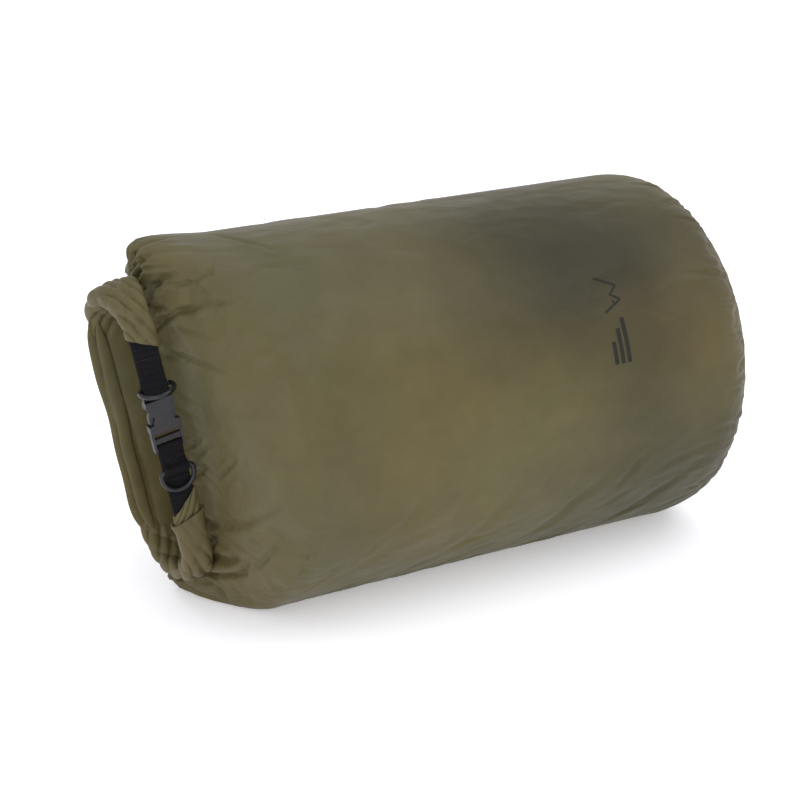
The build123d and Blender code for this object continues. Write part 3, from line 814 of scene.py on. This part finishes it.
def roll_path(start, end, count):
    """Points and outward directions along the loop's middle line, by distance from its back's middle.

    Distance grows upwards along the back, over the top bend and down the front.
    """
    bend = pi * MID_RADIUS
    distance = np.linspace(start, end, count)
    sign = np.where(distance < 0, -1.0, 1.0)
    d = np.abs(distance)
    turned = np.clip((d - STRAIGHT_HALF) / MID_RADIUS, 0, pi)
    past = np.maximum(d - STRAIGHT_HALF - bend, 0)
    y = MID_RADIUS * np.cos(turned)
    z = np.minimum(d, STRAIGHT_HALF) + MID_RADIUS * np.sin(turned) - past
    out_y, out_z = np.cos(turned), np.sin(turned)
    return distance, y, sign * z, out_y, sign * out_z


def rolled(start, end, count, across, thick, middle, folds, end_slant=0.0):
    """Grid of points for a length of rolled fabric whose width and thickness change along it."""
    around = 132
    distance, y, z, out_y, out_z = roll_path(start, end, count)
    turn = np.linspace(0, 2 * pi, around, endpoint=False)
    ct, st = np.cos(turn), np.sin(turn)
    flat = np.sign(ct) * np.abs(ct) ** 0.62
    crown = np.sign(st) * np.abs(st) ** 0.78
    half = across(distance)[:, None] * flat[None]
    rise = thick(distance)[:, None] * crown[None]
    lift = folds(distance[:, None], half)
    half = half + 0.5 * lift * ct[None]
    rise = rise + lift * (np.sign(st) * np.abs(st) ** 0.5)[None]
    x = middle(distance)[:, None] + half
    z_all = z[:, None] + rise * out_z[:, None]
    y_all = y[:, None] + rise * out_y[:, None]
    tip = smoothstep(abs(end) - 22 * MM, abs(end), np.abs(distance))[:, None]
    z_all = z_all + end_slant * tip * (x - middle(distance)[:, None])
    return loop_point(x, y_all, z_all)


def closed_ends(points):
    """Turns the first and last rings of a roll inwards, so that its ends look folded, not cut."""
    first, last = points[0], points[-1]
    inner_first = first.mean(0) + (first - first.mean(0)) * 0.86
    inner_last = last.mean(0) + (last - last.mean(0)) * 0.86
    back_first = inner_first + (points[3] - points[0]).mean(0)
    back_last = inner_last + (points[-4] - points[-1]).mean(0)
    core_first = back_first.mean(0) + (back_first - back_first.mean(0)) * 0.3
    core_last = back_last.mean(0) + (back_last - back_last.mean(0)) * 0.3
    return np.concatenate([[core_first, back_first, inner_first], points,
                           [inner_last, back_last, core_last]])


UPPER_END = STRAIGHT_HALF + pi * MID_RADIUS - (UPPER_ARM_END - STRAIGHT_HALF) + 3.5 * MM
LOWER_END = STRAIGHT_HALF + pi * MID_RADIUS + (STRAIGHT_HALF + LOWER_ARM_END)
BEND_END = STRAIGHT_HALF + pi * MID_RADIUS


def upper_width(d):
    gather = smoothstep(STRAIGHT_HALF + 5 * MM, BEND_END - 12 * MM, d)
    spread = 1.5 * MM * np.sin(np.abs(d) / (21 * MM))
    return ROLL_WIDTH / 2 + spread * (1 - gather) - (ROLL_WIDTH / 2 - 11.8 * MM) * gather


def upper_thick(d):
    bend = smoothstep(STRAIGHT_HALF - 8 * MM, STRAIGHT_HALF + 40 * MM, d)
    return ROLL_THICK / 2 + 2.2 * MM * bend - 3.0 * MM * smoothstep(BEND_END - 26 * MM, UPPER_END, d)


def upper_middle(d):
    return WEBBING_X * smoothstep(STRAIGHT_HALF, BEND_END - 10 * MM, d)


def upper_folds(d, x):
    """Twisted folds over the bend and down the arm, and shallow lengthwise ones on the back."""
    over = smoothstep(STRAIGHT_HALF - 24 * MM, STRAIGHT_HALF + 12 * MM, d)
    calm = 1 - 0.45 * smoothstep(BEND_END - 14 * MM, UPPER_END, d)
    sway = 0.9 * np.sin(d / (11 * MM)) + 0.7 * np.sin(x / (5 * MM) + d / (23 * MM))
    twist = pleated(2 * pi * (x - 0.62 * d) / (10.5 * MM) + sway)
    cross = pleated(2 * pi * (x + 0.9 * d) / (19 * MM) + 1.4 + 0.6 * sway)
    bundle = (2.5 * twist + 1.3 * cross) * MM
    layers = 0.8 * MM * pleated(2 * pi * x / (17 * MM) + 0.8 + 0.5 * np.sin(d / (31 * MM)))
    ripple = 0.35 * MM * np.sin(d / (8 * MM) + x / (7 * MM)) * np.sin(d / (21 * MM))
    return over * bundle * calm + (1 - over) * (layers + ripple)


def lower_width(d):
    d = np.abs(d)
    gather = smoothstep(STRAIGHT_HALF + 8 * MM, BEND_END - 8 * MM, d)
    flare = 2.6 * MM * smoothstep(LOWER_END - 26 * MM, LOWER_END - 10 * MM, d)
    return ROLL_WIDTH / 2 - (ROLL_WIDTH / 2 - 12.2 * MM) * gather + flare


def lower_thick(d):
    d = np.abs(d)
    bend = smoothstep(STRAIGHT_HALF, STRAIGHT_HALF + 30 * MM, d)
    slim = smoothstep(BEND_END - 10 * MM, LOWER_END - 20 * MM, d)
    return ROLL_THICK / 2 + 2.0 * MM * bend - 2.6 * MM * slim


def lower_middle(d):
    return WEBBING_X * smoothstep(STRAIGHT_HALF, BEND_END, np.abs(d))


def lower_folds(d, x):
    """Bunched pleats under the bend that open out into the smooth sleeve of the arm."""
    d = np.abs(d)
    over = smoothstep(STRAIGHT_HALF - 24 * MM, STRAIGHT_HALF + 22 * MM, d)
    calm = 1 - 0.86 * smoothstep(BEND_END - 20 * MM, BEND_END + 8 * MM, d)
    sway = 0.8 * np.sin(d / (10 * MM)) + 0.6 * np.sin(x / (5 * MM) - d / (17 * MM))
    bunch = pleated(2 * pi * (x + 0.35 * d) / (9 * MM) + sway)
    cross = pleated(2 * pi * (x - 0.8 * d) / (17 * MM) + 0.6 * sway)
    layers = 0.8 * MM * pleated(2 * pi * x / (17 * MM) + 0.8)
    return over * (2.4 * bunch + 1.4 * cross) * MM * calm + (1 - over) * layers


def wrap_folds(d, x):
    """Two creases along the fabric that is folded slantwise over the webbing."""
    slant = np.abs(d) - 0.9 * x
    return 0.9 * MM * pleated(2 * pi * slant / (8.5 * MM) + 1.2)


def upper_roll(fabric):
    """Back run of the rolled mouth, its twisted top bend and the short arm in front."""
    points = rolled(-STRAIGHT_HALF - 3 * MM, UPPER_END, 190, upper_width, upper_thick,
                    upper_middle, upper_folds, end_slant=-0.55)
    points = closed_ends(points)
    rows, columns = points.shape[:2]
    piece = mesh_piece("rolled_mouth_upper", points, grid_faces(rows, columns, True), fabric)
    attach(piece, "root")
    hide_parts("mouth_roll", "upper_roll_arm", "stiffener_strip", "hem_webbing")


def lower_roll(fabric):
    """Bottom bend of the rolled mouth and the sleeve of fabric that holds the lower webbing."""
    points = rolled(-STRAIGHT_HALF + 6 * MM, -(LOWER_END - 12 * MM), 130, lower_width, lower_thick,
                    lower_middle, lower_folds, end_slant=0.25)
    points = closed_ends(points)
    rows, columns = points.shape[:2]
    faces = [tuple(reversed(f)) for f in grid_faces(rows, columns, True)]
    piece = mesh_piece("rolled_mouth_lower", points, faces, fabric)
    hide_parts("lower_roll_arm")
    tuple(loop_point(0, 24 * MM, -STRAIGHT_HALF))
    tuple(loop_point(0, -22 * MM, -STRAIGHT_HALF))
    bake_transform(piece)


def webbing_wrap(fabric):
    """Inner layer of the lower arm, folded slantwise over the webbing where it enters the sleeve."""
    def half_wide(d):
        return np.full_like(d, 11.4 * MM)

    def half_thick(d):
        return np.full_like(d, 3.0 * MM)

    points = rolled(-(LOWER_END - 32 * MM), -(LOWER_END + 1 * MM), 60, half_wide, half_thick,
                    lower_middle, wrap_folds, end_slant=0.9)
    points = closed_ends(points)
    rows, columns = points.shape[:2]
    piece = mesh_piece("lower_arm_wrap", points, grid_faces(rows, columns, True), fabric)
    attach(piece, "plug_end")


def back_layers(fabric):
    """Turns of fabric seen along the roll's mouth side: each a thin folded edge along the back."""
    for index, (x, lift, bulge) in enumerate(((-17.5, 6.2, 1.0), (-22.0, 2.6, 1.6))):
        count = 90
        z = np.linspace(-STRAIGHT_HALF - 6 * MM, STRAIGHT_HALF + 6 * MM, count)
        slim = (1 - (z / z[-1]) ** 8)[:, None]
        around = np.linspace(0, 2 * pi, 14, endpoint=False)
        sway = 1.1 * MM * np.sin(z / (26 * MM) + index) + 0.5 * MM * np.sin(z / (9 * MM))
        radius_x, radius_y = (4.2 + bulge) * MM, (1.0 + 0.3 * bulge) * MM
        px = x * MM + 3 * MM * (1 - slim) + sway[:, None] + slim * radius_x * np.cos(around)[None]
        py = MID_RADIUS - lift * MM + slim * radius_y * np.sin(around)[None] + 0.4 * sway[:, None]
        points = loop_point(px, py, z[:, None])
        piece = mesh_piece(f"roll_layer_{index + 1}", points, grid_faces(count, 14, True), fabric)
        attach(piece, "root")


# =================================== webbing, thread =================================

def ribbon(name, path, material, width=WEBBING_WIDTH, thick=WEBBING_THICK):
    """A flat strap along a path of (y, z) points in the roll's frame, with rounded edges."""
    path = np.array(path) * MM
    step = np.linalg.norm(np.diff(path, axis=0), axis=1)
    total = np.concatenate([[0], np.cumsum(step)])
    count = max(12, int(total[-1] / (0.9 * MM)))
    at = np.linspace(0, total[-1], count)
    y, z = np.interp(at, total, path[:, 0]), np.interp(at, total, path[:, 1])
    ty, tz = np.gradient(y), np.gradient(z)
    size = np.hypot(ty, tz)
    ny, nz = -tz / size, ty / size
    turn = np.linspace(0, 2 * pi, 28, endpoint=False)
    ct, st = np.cos(turn), np.sin(turn)
    flat = np.sign(ct) * np.abs(ct) ** 0.22 * width / 2
    face = np.sign(st) * np.abs(st) ** 0.55 * thick / 2
    x = WEBBING_X + np.broadcast_to(flat, (count, 28))
    y_all = y[:, None] + face[None] * ny[:, None]
    z_all = z[:, None] + face[None] * nz[:, None]
    points = loop_point(x, y_all, z_all)
    faces = grid_faces(count, 28, True) + [tuple(range(28)), tuple(range((count - 1) * 28, count * 28))]
    return mesh_piece(name, points, faces, material)


def arc_points(centre, radius, start, end, count=12):
    """Points (y, z), in millimetres, along an arc given by its angles in degrees."""
    turn = np.radians(np.linspace(start, end, count))
    return [(centre[0] + radius * cos(t), centre[1] + radius * sin(t)) for t in turn]


FRONT = -30.0               # middle of the doubled webbing, in the roll's frame, millimetres
HALF_LAYER = 0.78


def straps(webbing):
    """The two doubled straps: each goes round its bar and back on itself."""
    upper = [(-27.2, 101.5), (-29.4, 96.0), (FRONT - HALF_LAYER, 89), (FRONT - HALF_LAYER, 58)]
    upper += arc_points((FRONT, UPPER_RING_Z / MM), 2.95, 150, 180, 5)
    upper += arc_points((FRONT, SOCKET_BAR_Z / MM), 2.95, 180, 360, 14)
    upper += arc_points((FRONT, UPPER_RING_Z / MM), 2.95, 0, 30, 5)
    upper += [(FRONT + HALF_LAYER, 58), (FRONT + HALF_LAYER, 89), (-27.9, 95.6), (-25.8, 100.8)]
    piece = ribbon("upper_webbing", upper, webbing)
    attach(piece, "root")
    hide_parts("upper_strap")
    bottom = LOWER_ARM_END / MM - 13
    ring = LOWER_RING_Z / MM
    lower = [(FRONT - HALF_LAYER, bottom), (FRONT - HALF_LAYER, ring - 6)]
    eye_y = FRONT - 4.0
    lower += [(FRONT - 1.6, ring - 4.2)] + arc_points((eye_y, ring), 2.95, 250, 110, 12)
    lower += [(FRONT - 1.6, ring + 4.2), (FRONT - HALF_LAYER, ring + 7)]
    lower += [(FRONT - HALF_LAYER - 0.3, -3.6)] + arc_points((FRONT, PLUG_BAR_Z / MM), 2.3, 200, -20, 14)
    lower += [(FRONT + HALF_LAYER + 0.3, -3.6), (FRONT + HALF_LAYER, -8), (FRONT + HALF_LAYER, bottom)]
    piece = ribbon("lower_webbing", lower, webbing)
    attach(piece, "plug_end")
    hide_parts("lower_strap")


def stitch_rows(name, rows, body, thread, replaced):
    """Rows of small raised stitches across the front of the webbing."""
    points, faces = [], []
    ring = np.linspace(0, 2 * pi, 8, endpoint=False)
    for z, slant in rows:
        for i in range(8):
            middle = (i - 3.5) * 2.25
            for k, t in enumerate(np.linspace(-1, 1, 7)):
                x = (middle + 0.85 * t) * MM + WEBBING_X
                rise = FRONT - 2 * HALF_LAYER + 0.05 - 0.28 * (1 - t * t)
                size = 0.30 * (1 - 0.75 * t ** 4)
                height = z + slant * (middle + 0.85 * t)
                y = (rise + size * np.cos(ring)) * MM
                points.append(loop_point(x, y, (height + size * np.sin(ring)) * MM))
                if k:
                    base = (len(points) - 2) * 8
                    faces += [(base + a, base + (a + 1) % 8, base + 8 + (a + 1) % 8, base + 8 + a)
                              for a in range(8)]
    piece = mesh_piece(name, np.concatenate(points), faces, thread)
    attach(piece, body)
    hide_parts(replaced)


# ================================ hardware and print =================================

def finish_hardware(plastic, ring):
    """Gives the CAD buckle and rings their materials and slightly rounded edges."""
    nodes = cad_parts
    for name in ("buckle_socket", "buckle_plug", "plug_prong_left", "plug_prong_right"):
        node = nodes[name]
        node.data.materials.clear()
        node.data.materials.append(plastic)
        bevel = node.modifiers.new("soft_edges", "BEVEL")
        bevel.width = 0.35 * MM
        bevel.segments = 2
        bevel.limit_method = "ANGLE"
        bevel.angle_limit = radians(38)
        bevel.harden_normals = False
    for name in ("upper_d_ring", "lower_d_ring"):
        node = nodes[name]
        node.data.materials.clear()
        node.data.materials.append(ring)
        node.data.polygons.foreach_set("use_smooth", [True] * len(node.data.polygons))


def printed_mark(skin, arc, angle, ink):
    """A plain mountain outline over three bars, printed on the front near the base."""
    normal = normals_of(skin)
    rows_arc, columns_angle = arc[:, 0], angle[0]

    def surface(along, around):
        """Point on the skin at (millimetres along, millimetres round) from the print's middle."""
        i = np.interp(0.437 + along * MM, rows_arc, np.arange(len(rows_arc)))
        j = np.interp(radians(31) + around * MM / RADIUS, columns_angle, np.arange(len(columns_angle)))
        a, b = int(i), int(j)
        u, v = i - a, j - b
        mix = ((1 - u) * (1 - v), u * (1 - v), (1 - u) * v, u * v)
        corners = ((a, b), (a + 1, b), (a, b + 1), (a + 1, b + 1))
        point = sum(w * skin[c] for w, c in zip(mix, corners))
        out = sum(w * normal[c] for w, c in zip(mix, corners))
        return point + 0.28 * MM * out

    def stroke(line, width):
        line = np.array(line, float)
        lengths = np.concatenate([[0], np.cumsum(np.linalg.norm(np.diff(line, axis=0), axis=1))])
        at = np.linspace(0, lengths[-1], int(lengths[-1] / 0.8) + 2)
        u, v = np.interp(at, lengths, line[:, 0]), np.interp(at, lengths, line[:, 1])
        du, dv = np.gradient(u), np.gradient(v)
        size = np.hypot(du, dv)
        made = []
        for k in range(len(at)):
            for off in (-0.5, 0.0, 0.5):
                made.append(surface(u[k] - dv[k] / size[k] * width * off,
                                    v[k] + du[k] / size[k] * width * off))
        return made

    strokes = [
        ([(-8, 8), (9, 17), (1, 22), (9, 29), (-8, 38)], 1.7),
        ([(3, 13.8), (1.5, 17)], 1.3),
        ([(5, -34), (5, 2)], 3.4),
        ([(-1, -34), (-1, -6)], 3.4),
        ([(-7, -34), (-7, -16)], 3.4),
    ]
    points, faces = [], []
    for line, width in strokes:
        made = stroke(line, width)
        base = len(points)
        points += made
        faces += [tuple(base + q for q in f) for f in grid_faces(len(made) // 3, 3, False)]
    piece = mesh_piece("printed_mark", np.array(points), faces, ink,
                       inside=SACK_MIDDLE)
    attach(piece, "root")


make_camera()
make_lights()
make_floor()
FABRIC = coated_fabric()
WEBBING = webbing_material()
THREAD = thread_material()
SKIN, ARC, ANGLE = body_skin(FABRIC)
base_disc(SKIN[-1].copy(), FABRIC)
base_piping(SKIN[-1].copy(), FABRIC)
upper_roll(FABRIC)
lower_roll(FABRIC)
webbing_wrap(FABRIC)
back_layers(FABRIC)
straps(WEBBING)
stitch_rows("upper_stitching", ((84, -0.1), (75.5, -0.1)), "root", THREAD, "upper_strap_stitching")
stitch_rows("lower_stitching", ((-8.6, 0.0), (-26, 0.0)), "plug_end", THREAD, "lower_strap_stitching")
finish_hardware(moulded_plastic(), ring_material())
printed_mark(SKIN, ARC, ANGLE, print_material())
